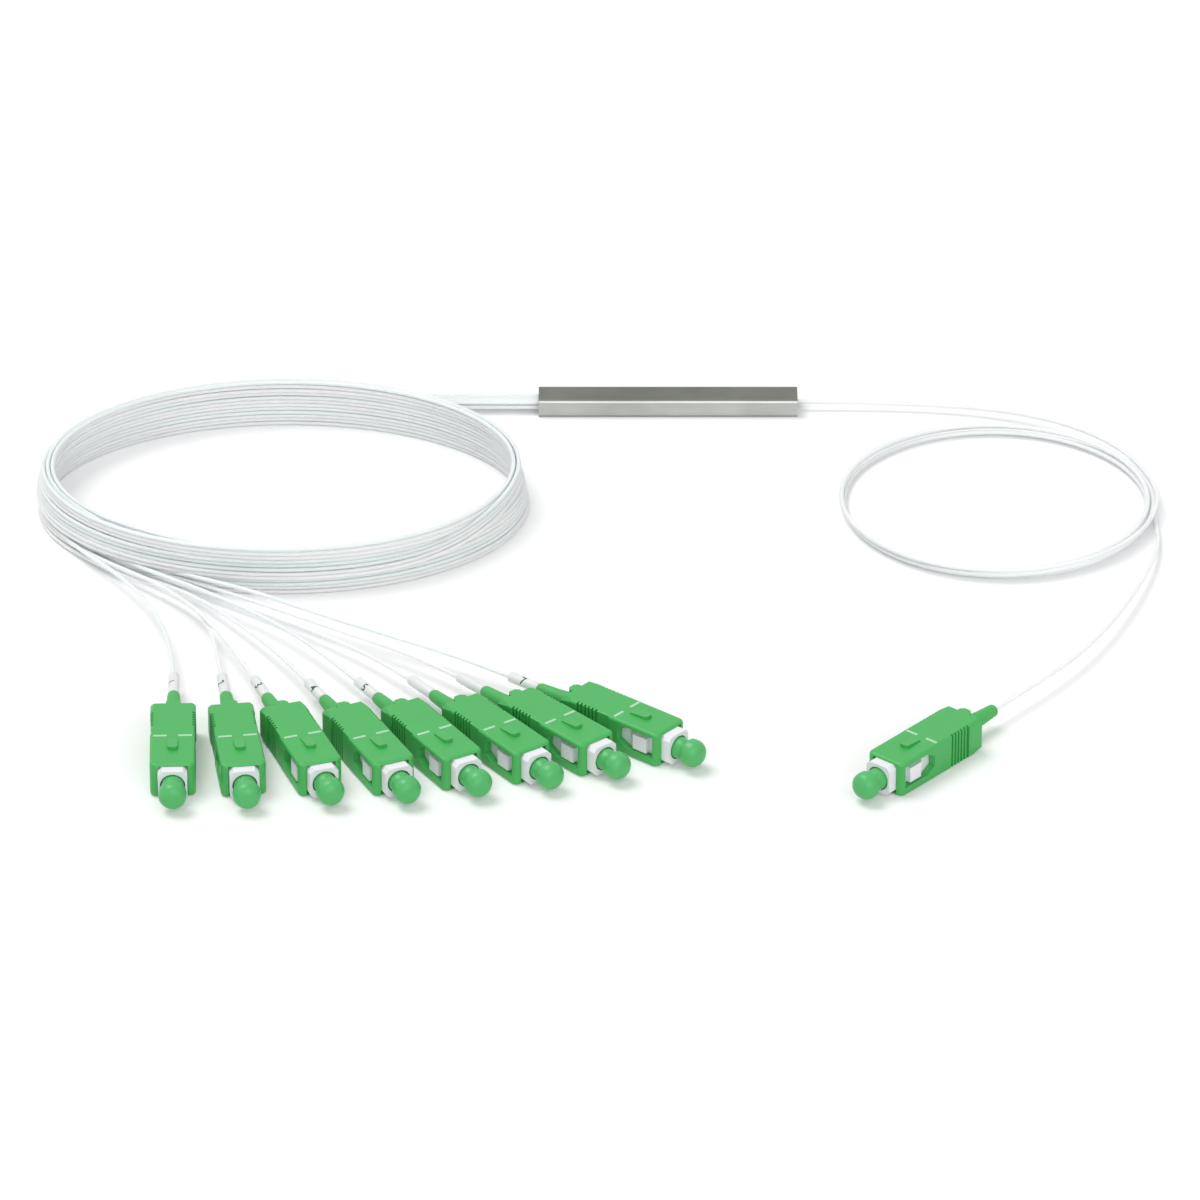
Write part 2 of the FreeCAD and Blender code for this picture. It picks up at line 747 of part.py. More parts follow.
def stop_form():
    """Stop body: closes the spring bore, carries the spring, and holds the boot on its barb."""
    body = new_body("stop_form")
    front, seat = stop_front(), -size("frame_rear") - size("seat_gap")
    end, barb = -size("stop_end"), -size("barb_end")
    inner, insert = size("stop_bore") / 2, size("stop_insert_dia") / 2
    neck_start = end + size("web_thickness")
    half = new_sketch(body, "XY_Plane", "stop_half")
    draw_polygon(half, [(barb, size("barb_bore") / 2), (neck_start, size("barb_bore") / 2),
                        (neck_start, inner), (front, inner), (front, insert), (seat, insert),
                        (seat, size("stop_dia") / 2), (end, size("stop_dia") / 2),
                        (end, size("barb_dia") / 2), (barb, size("barb_dia") / 2)])
    turn(body, half, "stop_turned")
    return body


def boot_form():
    """Tapered boot on the stop body's barb, bevelled at the tip."""
    start, root_end = -size("boot_start"), -size("boot_root_end")
    rise_end, end = -size("boot_rise_end"), -size("boot_end")
    hold = size("barb_dia") / 2 + size("seat_gap")
    seat_end = -size("barb_end") - size("seat_gap")
    cord_way = size("sleeve_bore") / 2
    body = new_body("boot_form")
    half = new_sketch(body, "XY_Plane", "boot_half")
    draw_polygon(half, [(start, hold), (seat_end, hold), (seat_end, cord_way), (end, cord_way),
                        (end, size("boot_tip_dia") / 2), (rise_end, size("boot_mid_dia") / 2),
                        (root_end, size("boot_root_dia") / 2), (start, size("boot_root_dia") / 2)])
    turned = turn(body, half, "boot_turned")
    fillet(body, turned, "boot_tip_bevel", size("boot_tip_edge"),
           lambda e: rim(e, end, size("boot_tip_dia")), chamfer=True)
    return body


def cap_form():
    """Dust cap: a sleeve on the ferrule, a shoulder, a short waist and a rounded knob."""
    rear, shoulder, neck = -size("cap_rear"), size("cap_shoulder"), size("cap_neck")
    waist_end, end = neck + size("cap_waist_length"), size("cap_end")
    bore = size("cap_bore") / 2
    depth = ferrule_front() + size("seat_gap") * 2
    sleeve, waist, knob = size("cap_sleeve_dia"), size("cap_waist_dia"), size("cap_knob_dia")
    body = new_body("cap_form")
    half = new_sketch(body, "XY_Plane", "cap_half")
    draw_polygon(half, [(rear, bore), (depth, bore), (depth, 0), (end, 0), (end, knob / 2),
                        (waist_end, knob / 2), (waist_end, waist / 2), (neck, waist / 2),
                        (shoulder, sleeve / 2), (rear, sleeve / 2)])
    turned = turn(body, half, "cap_turned")
    first = fillet(body, turned, "cap_shoulder_rounding", size("cap_shoulder_round"),
                   lambda e: rim(e, shoulder, sleeve))
    second = fillet(body, first, "cap_knob_rear", size("cap_knob_rear_edge"),
                    lambda e: rim(e, waist_end, knob), chamfer=True)
    fillet(body, second, "cap_knob_front", size("cap_knob_front_round"),
           lambda e: rim(e, end, knob))
    return body


def spring_form():
    """The ferrule's compression spring, wound between flange and stop body; the wire is square."""
    wire, outer = SIZES["spring_wire"], SIZES["spring_dia"]
    front, rear = spring_front().value, spring_rear().value
    height = front - rear - wire
    radius = (outer - wire) / 2
    helix = Part.makeHelix(height / SIZES["spring_turns"], height, radius)
    corners = [Vector(radius + wire / 2 * across, 0, wire / 2 * along)
               for across, along in ((-1, -1), (1, -1), (1, 1), (-1, 1), (-1, -1))]
    section = Part.makePolygon(corners)
    coil = Part.Wire(helix).makePipeShell([section], True, True)
    turned = Part.makeSolid(coil) if coil.ShapeType != "Solid" else coil
    turned.Placement = FreeCAD.Placement(Vector(rear + wire / 2, 0, 0),
                                         FreeCAD.Rotation(Vector(0, 1, 0), 90))
    feature = DOC.addObject("Part::Feature", "spring_form")
    feature.Shape = turned
    return feature


def sleeve_form():
    """Short marker sleeve on an output cord, close behind the boot."""
    body = new_body("sleeve_form")
    front = -size("boot_end") - size("seat_gap")
    section = new_sketch(body, "YZ_Plane", "sleeve_section", front)
    draw_circle(section, Term.of(0), Term.of(0), size("sleeve_dia"))
    draw_circle(section, Term.of(0), Term.of(0), size("sleeve_bore"))
    pad(body, section, "sleeve_pad", size("sleeve_length"), backwards=True)
    return body


# ---------------------------------------------------------------- placing the plugs

def axis_height():
    return size("grip_height") / 2


def plug_placement(number):
    x, y, turned = PLUGS[number]
    spin = FreeCAD.Rotation(Vector(0, 0, 1), turned - 90)
    return FreeCAD.Placement(Vector(x, y, axis_height().value), spin)


def placed_copy(name, form, number):
    """One plug's own copy of a form, put where that plug lies."""
    copy = DOC.addObject("Part::Compound", name)
    copy.Links = [form]
    copy.Placement = plug_placement(number)
    copy.setExpression("Placement.Base.z", axis_height().text)
    return copy


def placed_group(name, form, numbers):
    """The same form at several plugs, as one group of separate solids."""
    group = DOC.addObject("Part::Compound", name)
    group.Links = [placed_copy(f"{name}_{number}", form, number) for number in numbers]
    return group


def plug_exit(number):
    """Start of the cord inside the boot, and the end of its straight stretch behind the boot."""
    place = plug_placement(number)
    inside = -SIZES["boot_end"] + SIZES["cord_seat_depth"]
    straight = -SIZES["boot_end"] - SIZES["cord_straight"]
    return [place.multVec(Vector(along, 0, 0)) for along in (inside, straight)]


# ---------------------------------------------------------------- cords and coils

def tube_along(points, name):
    """A round cord along straight runs joined by tangent arcs, as large as the runs allow."""
    edges, radii = [], []
    start = points[0]
    for before, corner, after in zip(points, points[1:], points[2:]):
        incoming, outgoing = corner - before, after - corner
        shorter = min(incoming.Length, outgoing.Length)
        turned = incoming.getAngle(outgoing)
        reach = ARC_SHARE * shorter
        radii.append(reach / math.tan(turned / 2))
        first = corner - incoming.normalize() * reach
        last = corner + outgoing.normalize() * reach
        bisector = ((first + last) * 0.5 - corner).normalize()
        sagitta = radii[-1] / math.cos(turned / 2) - radii[-1]
        edges.append(Part.LineSegment(start, first).toShape())
        edges.append(Part.Arc(first, corner + bisector * sagitta, last).toShape())
        start = last
    edges.append(Part.LineSegment(start, points[-1]).toShape())
    path = Part.Wire(edges)
    radius = SIZES["cord_dia"] / 2
    section = Part.Wire(Part.makeCircle(radius, points[0], points[1] - points[0]))
    tube = path.makePipeShell([section], True, False)
    expected = math.pi * radius ** 2 * path.Length
    print(f"{name}: length {path.Length:.1f} mm, smallest arc {min(radii):.1f} mm, "
          f"volume ratio {tube.Volume / expected:.4f}")
    return tube if tube.ShapeType == "Solid" else Part.makeSolid(tube)


def cord_feature(name, shape):
    feature = DOC.addObject("Part::Feature", name)
    feature.Shape = shape
    return feature


def lead_start(row, place):
    """Bottom of one cord's seat in the output end plug."""
    across, up = SIZES["lead_pitch_across"], SIZES["lead_pitch_up"]
    y = (place - (SIZES["leads_per_row"] - 1) / 2) * across
    z = SIZES["tube_height"] / 2 + (row - (SIZES["lead_rows"] - 1) / 2) * up
    x = -SIZES["tube_length"] / 2 + SIZES["plug_recess"] + SIZES["cord_seat_depth"]
    return Vector(x - SIZES["seat_gap"], y, z)


def output_lead(row, place):
    """One cord from its seat in the end plug to the back of the output coil."""
    start = lead_start(row, place)
    points = [start] + [Vector(x, y, start.z) for x, y in LEAD_ROUTES[place]]
    return tube_along(points, f"output lead {row}{place}")


def output_leads():
    """The eight output cords between the steel tube and the coil, two rows of four."""
    solids = []
    for row in range(int(SIZES["lead_rows"])):
        for place in range(int(SIZES["leads_per_row"])):
            solids.append(output_lead(row, place))
    return cord_feature("output_leads", Part.Compound(solids))


def output_tails():
    """The eight output cords between their boots and the coil."""
    solids = []
    for number, points in OUTPUT_TAILS.items():
        route = plug_exit(number) + [Vector(*point) for point in points]
        solids.append(tube_along(route, f"output tail {number}"))
    return cord_feature("output_tails", Part.Compound(solids))


def input_lead():
    half = SIZES["tube_length"] / 2
    start = Vector(half - SIZES["plug_recess"] - SIZES["cord_seat_depth"] + SIZES["seat_gap"], 0,
                   SIZES["tube_height"] / 2)
    route = [start] + [Vector(*point) for point in INPUT_LEAD]
    return cord_feature("input_lead", tube_along(route, "input lead"))


def input_tail():
    route = plug_exit(INPUT_PLUG) + [Vector(*point) for point in INPUT_TAIL]
    return cord_feature("input_tail", tube_along(route, "input tail"))


def coil_outline(body, name, shift, half_x, half_y):
    outline = new_sketch(body, "XY_Plane", name, shift)
    draw_ellipse(outline, size("coil_centre_x"), size("coil_centre_y"), half_x, half_y)
    return outline


def output_coil():
    """Outer shape of the wound output cords: an oval wall that leans in a little upwards."""
    wall, height = size("coil_wall"), size("coil_height")
    low = (size("coil_half_x"), size("coil_half_y"))
    top = (size("coil_top_half_x"), size("coil_top_half_y"))
    body = new_body("output_coil")
    loft = body.newObject("PartDesign::AdditiveLoft", "coil_outside")
    loft.Profile = coil_outline(body, "coil_low", Term.of(0), *low)
    loft.Sections = [coil_outline(body, "coil_top", height, *top)]
    loft.Ruled = True
    DOC.recompute()
    inside = body.newObject("PartDesign::SubtractiveLoft", "coil_inside")
    inside.Profile = coil_outline(body, "coil_low_inner", Term.of(0), low[0] - wall, low[1] - wall)
    inside.Sections = [coil_outline(body, "coil_top_inner", height, top[0] - wall, top[1] - wall)]
    inside.Ruled = True
    return body


def input_coil():
    """Outer shape of the wound input cord: a flat ring."""
    body = new_body("input_coil")
    ring = new_sketch(body, "XY_Plane", "input_ring")
    across = size("input_coil_radius") * 2
    x, y = size("input_coil_x"), size("input_coil_y")
    draw_circle(ring, x, y, across)
    draw_circle(ring, x, y, across - size("input_coil_wall") * 2)
    band = pad(body, ring, "input_band", size("input_coil_height"))
    fillet(body, band, "input_band_bevel", size("cord_dia") / 2,
           lambda e: e.Curve.TypeId == "Part::GeomCircle", chamfer=True)
    return body


# ---------------------------------------------------------------- everything together

def build():
    """Make every sub-part and return them by node name."""
    fill_sheet()
    parts = {
        "steel_tube": steel_tube(),
        "end_plug_out": end_plug("end_plug_out", -1, leads=True),
        "end_plug_in": end_plug("end_plug_in", 1, leads=False),
        "plc_chip": plc_chip(),
        "fibre_array_out": fibre_array_out(),
        "fibre_array_in": fibre_array_in(),
        "output_coil": output_coil(),
        "input_coil": input_coil(),
        "output_leads": output_leads(),
        "output_tails": output_tails(),
        "input_lead": input_lead(),
        "input_tail": input_tail(),
    }
    forms = {
        "grip": grip_body(),
        "plug_frame": plug_frame_body(),
        "ferrule": ferrule_body(),
        "boot": boot_form(),
        "dust_cap": cap_form(),
    }
    for name, form in forms.items():
        for number in PLUGS:
            parts[f"{name}_{number}"] = placed_copy(f"{name}_{number}", form, number)
    outputs = [number for number in PLUGS if number in OUTPUT_TAILS]
    parts["stop_bodies"] = placed_group("stop_bodies", stop_form(), PLUGS)
    parts["ferrule_springs"] = placed_group("ferrule_springs", spring_form(), PLUGS)
    parts["marker_sleeves"] = placed_group("marker_sleeves", sleeve_form(), outputs)
    for name, part in parts.items():
        part.Label = name
    DOC.recompute()
    return parts


def check(parts):
    """Stop if any object failed or any shape is empty or faulty."""
    for thing in DOC.Objects:
        if "Invalid" in thing.State or "Error" in thing.State:
            raise RuntimeError(f"{thing.Label} is {thing.State}")
    for name, part in parts.items():
        if part.Shape.isNull() or not part.Shape.isValid() or not part.Shape.Solids:
            raise RuntimeError(f"{name} has no sound solid")


def write(parts):
    os.makedirs("parts", exist_ok=True)
    for name, part in parts.items():
        part.Shape.exportStep(f"parts/{name}.step")
    print(f"{len(parts)} parts written")


PARTS = build()
check(PARTS)
write(PARTS)
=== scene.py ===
import math

import bmesh
import bpy
from mathutils import Matrix, Vector


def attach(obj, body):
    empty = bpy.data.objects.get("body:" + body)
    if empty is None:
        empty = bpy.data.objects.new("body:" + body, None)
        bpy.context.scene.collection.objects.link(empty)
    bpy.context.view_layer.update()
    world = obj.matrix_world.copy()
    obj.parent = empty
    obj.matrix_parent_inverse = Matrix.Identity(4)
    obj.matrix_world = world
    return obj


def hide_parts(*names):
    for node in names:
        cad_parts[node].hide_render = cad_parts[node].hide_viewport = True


bl_info = {
    "name": "Fibre splitter with nine plugs",
    "version": (1, 0, 0),
    "blender": (4, 5, 0),
    "location": "3D View > Sidebar > Splitter",
    "description": "Dresses the packed steel-tube fibre splitter: cords, coils, plugs and studio",
    "category": "Object",
}

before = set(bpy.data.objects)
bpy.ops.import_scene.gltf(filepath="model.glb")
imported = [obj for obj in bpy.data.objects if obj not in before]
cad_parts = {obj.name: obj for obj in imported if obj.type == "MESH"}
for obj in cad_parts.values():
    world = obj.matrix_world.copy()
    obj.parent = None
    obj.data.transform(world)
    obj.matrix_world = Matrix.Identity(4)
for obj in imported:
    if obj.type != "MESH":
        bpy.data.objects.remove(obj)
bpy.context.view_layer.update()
# Lengths below are in millimetres unless they say otherwise, and the frame's are in metres.
MM = 0.001

# Nose of each plug's grip on the floor, in millimetres, and its turn in degrees from pointing
# along -Y towards +X. Plugs 1 to 8 end the output cords, plug 9 the input cord.
PLUGS = {
    1: (-98.5, -164.8, 2.0),
    2: (-84.5, -164.7, 8.0),
    3: (-69.3, -163.7, 20.0),
    4: (-54.8, -163.3, 25.5),
    5: (-41.3, -160.9, 31.0),
    6: (-27.6, -158.2, 36.0),
    7: (-14.8, -154.6, 41.5),
    8: (-0.4, -150.2, 49.5),
    9: (41.5, -162.4, -41.0),
}
# A plug's own X axis is its middle line, with 0 at the grip's front face and + at the nose.
AXIS_HEIGHT = 3.7
GRIP_TOP = 3.7
BOOT_END = 34.5
# How far a cord reaches into the boot, and how far it runs straight behind it.
CORD_IN_BOOT = 3.0
CORD_STRAIGHT = 16.4
# The dashes on a grip's top: length, width and height of one, its edge, and their places.
DASH_SIZE = (0.62, 2.7, 0.06)
DASH_EDGE = 0.025
DASH_ALONG = -11.5
DASH_ACROSS = {"left": 2.485, "right": -2.485}

# Turned pieces of a plug, as rings of (place along the axis, radius, edge rounding).
CAP_RINGS = [(2.9, 1.26, 0), (-4.5, 1.26, 0), (-4.5, 2.25, 0.2), (2.9, 2.25, 1.0),
             (3.9, 1.85, 0), (4.4, 1.85, 0), (4.4, 2.8, 0.6), (7.9, 2.8, 2.1)]
BOOT_RINGS = [(-20.05, 1.15, 0), (-27.05, 1.15, 0), (-27.05, 0.47, 0), (-34.5, 0.47, 0),
              (-34.5, 1.25, 0.6), (-29.0, 1.55, 1.6), (-24.0, 2.25, 1.6), (-20.05, 2.25, 0),
              (-20.05, 1.15, 0)]
SLEEVE_RINGS = [(-34.55, 0.47, 0), (-42.05, 0.47, 0), (-42.05, 1.1, 0.18), (-34.55, 1.1, 0.18),
                (-34.55, 0.47, 0)]
SLEEVE_RADIUS = 1.1
# The figure that each marker sleeve carries.
SLEEVE_NUMBERS = {1: 1, 2: 2, 3: 3, 4: 4, 5: 5, 6: 6, 7: 8, 8: 7}
# How far round its sleeve each figure lies, in degrees from the top: two face downwards.
FIGURE_TURNS = {1: 48, 2: 48, 3: 36, 4: 40, 5: 48, 6: 170, 7: 170, 8: 48}
# A figure's height, the size of type for one of height 1, its middle along the plug's axis, how
# far its strokes are swollen, and how far its ink stands off the sleeve.
FIGURE_HEIGHT = 1.9
TYPE_SIZE = 1.35
FIGURE_ALONG = -38.3
STROKE_SWELL = 0.035
INK_LIFT = 0.02

# Routes in millimetres, through the same points as the frame's cords: each output cord from its
# plug back to the coil, the leads from the steel tube's four columns of cords to the coil as
# (x, y), and the input cord's two ends. The last point of each is where the frame's cord meets
# its coil, and the coil's own points take its place.
OUTPUT_TAILS = {
    1: [(-104.9, -95.0, 3.5), (-112.2, -80.7, 3.4), (-119.8, -70.6, 3.0), (-125.9, -60.6, 2.4)],
    2: [(-94.6, -95.0, 2.7), (-104.6, -83.2, 2.2), (-115.0, -74.6, 1.5), (-123.2, -64.1, 0.8)],
    3: [(-94.8, -98.0, 4.2), (-104.4, -84.7, 4.0), (-113.6, -75.4, 2.9), (-121.0, -66.4, 2.0)],
    4: [(-86.9, -100.6, 3.0), (-98.2, -84.6, 2.0), (-112.6, -72.6, 0.9)],
    5: [(-79.3, -101.6, 3.9), (-93.7, -88.3, 3.8), (-107.8, -75.3, 3.2)],
    6: [(-71.5, -103.3, 2.9), (-86.0, -90.9, 2.0), (-99.5, -78.6, 1.4)],
    7: [(-65.6, -104.7, 3.6), (-81.2, -92.7, 3.0), (-94.8, -79.9, 2.3)],
    8: [(-56.4, -107.9, 4.6), (-73.0, -98.2, 5.0), (-86.4, -88.0, 4.6), (-96.8, -79.4, 3.4)],
}
LEAD_ROUTES = {
    0: [(-37.6, -1.5), (-51.0, -1.3), (-64.4, -2.5), (-77.0, -6.15)],
    1: [(-38.0, -0.5), (-52.0, -0.25), (-66.2, -1.75), (-80.0, -5.9)],
    2: [(-38.4, 0.5), (-53.0, 0.75), (-67.5, -0.85), (-80.0, -3.9), (-90.2, -6.8)],
    3: [(-38.0, 1.5), (-52.5, 1.75), (-67.3, 0.2), (-82.2, -2.9), (-96.0, -7.4)],
}
INPUT_LEAD = [(38.0, 0.0, 2.0), (52.2, -0.6, 1.7), (66.4, -2.7, 1.9), (79.6, -7.8, 2.3),
              (91.0, -16.8, 2.6), (98.6, -28.8, 2.7), (100.5, -38.2, 2.5)]
INPUT_TAIL = [(86.1, -107.2, 3.3), (95.3, -85.4, 2.9), (101.2, -64.8, 1.8), (100.7, -48.4, 1.1)]

# Each output cord's place in the wound block of two columns by four rows, outer column first,
# and the angles, in degrees round the coil from +X, at which it leaves the wall and at which its
# laps go down by one level.
BLOCK_PLACE = {
    2: (0, 0, 213.0, 203.0), 3: (0, 1, 217.0, 207.0), 1: (0, 2, 207.0, 211.0),
    5: (0, 3, 237.0, 216.0), 4: (1, 0, 231.0, 219.0), 6: (1, 1, 248.0, 230.0),
    7: (1, 2, 254.0, 234.0), 8: (1, 3, 251.0, 238.0),
}
# How pale each cord is: 0 for the cool tone, 1 for the pale one.
CORD_TONES = {1: 0.1, 2: 0.9, 3: 0.8, 4: 0.25, 5: 0.0, 6: 0.95, 7: 0.7, 8: 0.15, 9: 0.5}

# Where the cords come out of the steel tube: distance from its middle, height of its axis, and
# the pitch of the block of cords across and up.
TUBE_EXIT = 24.05
TUBE_AXIS = 2.0
LEAD_PITCH = (1.0, 1.05)

# Output coil: its middle, the wall's height, how far the wall leans in at its top along X and Y,
# the pitch of its strands, the height of one level of four rows, and the middle of the lowest
# row, of the top level's lowest row, and of a strand that lies on the floor.
COIL_MIDDLE = (-80.4, -43.7)
COIL_HEIGHT = 10.8
COIL_LEAN = (2.1, 0.8)
STRAND = 0.9
LEVEL = 3.6
LOWEST_ROW = 0.45
TOP_LEVEL = 7.65
ON_FLOOR = 0.46
OUTPUT_LAPS = 3
# Angles round the output coil in degrees from +X: where each column of leads joins the wall,
# where the cords climb over the lowest level, where each settles in its place in the block, how
# long a step down to the next level takes, and how early a cord is let go.
LEAD_JOINS = (96.0, 102.0, 112.0, 120.0)
CLIMB = (120, 195)
SETTLE = (298, 350)
STEP_DOWN = 34
LET_GO = 6
# Moves of one cord, as (start, end) in degrees. From where it joins the wall: up from its lead's
# height. From where it is let go: to its tail's height, and out, to this many strands outside.
RISE = (-10, 35)
SINK = (-40, 6)
PART = (-30, 10)
OUTSIDE = 0.35
# Uneven winding, as waves (size, waves a turn, degrees from one cord to the next): in and out, in
# strands, and up and down, in millimetres.
SWAY = (0.10, 1.7, 71)
BOB = (0.07, 2.3, 113)

# Input coil: its middle, the angles at which it starts and ends, its top strand's height, how
# much lower each lap lies, and how far the laps lie on either side of the middle of the strands.
INPUT_MIDDLE = (68.4, -44.0)
INPUT_ARC = (4.0, -1450.0)
INPUT_TOP = 2.75
INPUT_LOWER = 0.62
INPUT_BESIDE = 0.7
# Its uneven winding, in and out and up and down, as (size, radians a lap); and how many of its
# laps are loose, and how far these spread at the back, outwards and upwards.
INPUT_SWAY = (0.3, 5.1)
INPUT_BOB = (0.2, 6.9)
LOOSE_LAPS = 3
SPREAD = (1.5, 0.5)

# A coil's control points are this many degrees apart, and this much outside the curve they draw.
POINT_STEP = 15
POINT_SWELL = 1.0086

# Camera and lamps, in millimetres and degrees: a lamp has its direction, strength and spread.
CAMERA_PLACE = (-14.47, -1699.33, 885.74)
CAMERA_DIP = 28.74
CAMERA_LENS = 270
CAMERA_SENSOR = 36
LAMPS = {
    "key_light": ((-350, 180, 900), 1.42, 34),
    "front_light": ((250, -900, 600), 1.15, 60),
}
# The floor's side and how far back it is moved, in metres, and how far it is kept below the cords
# that lie on it; how much it shines where it is seen; and the sky's strength where it gives light.
FLOOR_SIDE = 12
FLOOR_BACK = 3.0
FLOOR_DROP = 0.02
FLOOR_LIFT = 0.13
SKY_AS_LIGHT = 0.42

# Two places this close, in metres, are one; faces that meet at less than this angle are smooth;
# and a rounding wider than this takes six facets, where a narrower one takes two.
TOUCH = 1e-6
SMOOTH_BELOW = 32
WIDE_ROUNDING = 0.3
# Pieces into which each part of a curve is cut to measure it.
CURVE_PIECES = 8


# ---------------------------------------------------------------- small tools

def linear(code):
    """Linear colour of an sRGB hex code, such as "75C57B"."""
    channels = [int(code[k:k + 2], 16) / 255 for k in (0, 2, 4)]
    return tuple(c / 12.92 if c <= 0.04045 else ((c + 0.055) / 1.055) ** 2.4 for c in channels)


def add_node(owner, kind, inputs=(), **settings):
    """Add a node with its settings; each input, by name or index, takes a link or a value."""
    node = owner.node_tree.nodes.new(kind)
    for name, value in settings.items():
        setattr(node, name, value)
    for name, value in dict(inputs).items():
        if isinstance(value, bpy.types.NodeSocket):
            owner.node_tree.links.new(value, node.inputs[name])
        else:
            node.inputs[name].default_value = value
    return node


def ease(value, start, end):
    """Smooth step from 0 at start to 1 at end."""
    share = min(max((value - start) / (end - start), 0.0), 1.0)
    return share * share * (3 - 2 * share)


def mix(low, high, share):
    """Value between low and high, by share."""
    return low + (high - low) * share


def plug_matrix(number):
    """Place of one plug: its own X axis points to the nose, 0 at the grip's front face."""
    x, y, turned = PLUGS[number]
    place = Matrix.Translation((x * MM, y * MM, AXIS_HEIGHT * MM))
    return place @ Matrix.Rotation(math.radians(turned - 90), 4, "Z")


def plug_point(number, along):
    """A point on the plug's axis, in millimetres."""
    point = plug_matrix(number) @ Vector((along * MM, 0, 0))
    return tuple(c / MM for c in point)


def dress(node, material):
    """Give a frame node its material."""
    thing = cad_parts[node]
    thing.data.materials.clear()
    thing.data.materials.append(material)


def finish(name, base, roughness, sockets=()):
    """A material and its shader; a pattern may take the place of the colour later."""
    material = bpy.data.materials.new(name)
    material.use_nodes = True
    shader = material.node_tree.nodes["Principled BSDF"]
    shader.inputs["Base Color"].default_value = (*base, 1)
    shader.inputs["Roughness"].default_value = roughness
    for socket, value in dict(sockets).items():
        shader.inputs[socket].default_value = value
    return material, shader


def translucent(weight, reach, depth):
    """Settings of a skin that light enters: how much, how far by colour, and depth in mm."""
    return {"Subsurface Weight": weight, "Subsurface Radius": reach,
            "Subsurface Scale": depth * MM}


# ---------------------------------------------------------------- modelling tools

def select_ring(edges, along, radius):
    """Select the edges of one ring round the X axis."""
    for edge in edges:
        edge.select = all(
            abs(corner.co.x - along * MM) < TOUCH
            and abs(math.hypot(corner.co.y, corner.co.z) - radius * MM) < TOUCH
            for corner in edge.verts)


def turned(name, rings, sides=40):
    """A turned piece about the X axis: one ring is drawn out into the next, then some rounded."""
    bpy.ops.object.select_all(action="DESELECT")
    along, radius, _ = rings[0]
    bpy.ops.mesh.primitive_circle_add(vertices=sides, radius=radius * MM,
                                      rotation=(0, math.pi / 2, 0))
    piece = bpy.context.object
    piece.name = name
    piece.location.x = along * MM
    bpy.ops.object.transform_apply(location=True, rotation=True)
    bpy.ops.object.mode_set(mode="EDIT")
    bpy.ops.mesh.select_all(action="SELECT")
    for (x0, r0, _), (x1, r1, _) in zip(rings, rings[1:]):
        bpy.ops.mesh.extrude_region_move(
            TRANSFORM_OT_translate={"value": ((x1 - x0) * MM, 0, 0)})
        bpy.ops.transform.resize(value=(1, r1 / r0, r1 / r0), center_override=(x1 * MM, 0, 0))
    bpy.ops.mesh.select_all(action="SELECT")
    bpy.ops.mesh.remove_doubles(threshold=TOUCH)
    bpy.ops.mesh.fill_holes(sides=0)
    bpy.ops.mesh.select_mode(type="EDGE")
    for along, radius, rounding in rings:
        if rounding:
            form = bmesh.from_edit_mesh(piece.data)
            select_ring(form.edges, along, radius)
            bmesh.update_edit_mesh(piece.data)
            bpy.ops.mesh.bevel(offset=rounding * MM, affect="EDGES",
                               segments=6 if rounding > WIDE_ROUNDING else 2)
    bpy.ops.mesh.select_all(action="SELECT")
    bpy.ops.mesh.normals_make_consistent(inside=False)
    bpy.ops.object.mode_set(mode="OBJECT")
    bpy.ops.object.shade_smooth_by_angle(angle=math.radians(SMOOTH_BELOW))
    return piece


def copy_at(master, name, place):
    """A copy of a master piece with its own mesh, which holds the place."""
    data = master.data.copy()
    data.name = name
    data.transform(place)
    piece = bpy.data.objects.new(name, data)
    bpy.context.scene.collection.objects.link(piece)
    return piece


def remove(piece):
    """Take a master piece away once its copies are made."""
    data = piece.data
    bpy.data.objects.remove(piece)
    bpy.data.meshes.remove(data)


def digit_on_sleeve(digit, turned_to):
    """A printed figure, wrapped round the marker sleeve this many degrees from its top."""
    bpy.ops.object.select_all(action="DESELECT")
    bpy.ops.object.text_add()
    words = bpy.context.object
    words.data.body = str(digit)
    words.data.size = FIGURE_HEIGHT * TYPE_SIZE * MM
    words.data.align_x = "CENTER"
    words.data.align_y = "CENTER"
    words.data.resolution_u = 3
    words.data.offset = STROKE_SWELL * MM
    bpy.ops.object.convert(target="MESH")
    figure = bpy.context.object
    # Cut small enough to bend round the sleeve.
    bpy.ops.object.mode_set(mode="EDIT")
    bpy.ops.mesh.select_all(action="SELECT")
    bpy.ops.mesh.quads_convert_to_tris()
    bpy.ops.mesh.subdivide(number_cuts=3)
    bpy.ops.object.mode_set(mode="OBJECT")
    ink = SLEEVE_RADIUS + INK_LIFT
    for corner in figure.data.vertices:
        along, up = corner.co.x / MM, corner.co.y / MM
        angle = math.radians(turned_to) - up / ink
        corner.co = Vector((FIGURE_ALONG + along, -ink * math.sin(angle),
                            ink * math.cos(angle))) * MM
    return figure


# ---------------------------------------------------------------- materials

# Colour sockets of the Mix node, by index: its two ends and its result.
LOW_END, HIGH_END, MIXED = 6, 7, 2
# Width and depth of the fine grain that a mould leaves on a polymer.
GRAIN_WIDTH = 0.25
GRAIN_DEPTH = 0.02
# Share of a colour that its second tone has: on the grips, the cords and the stamped figures.
GRIP_SHADE = 0.92
JACKET_SHADE = 0.93
INK_SHADE = 1.5


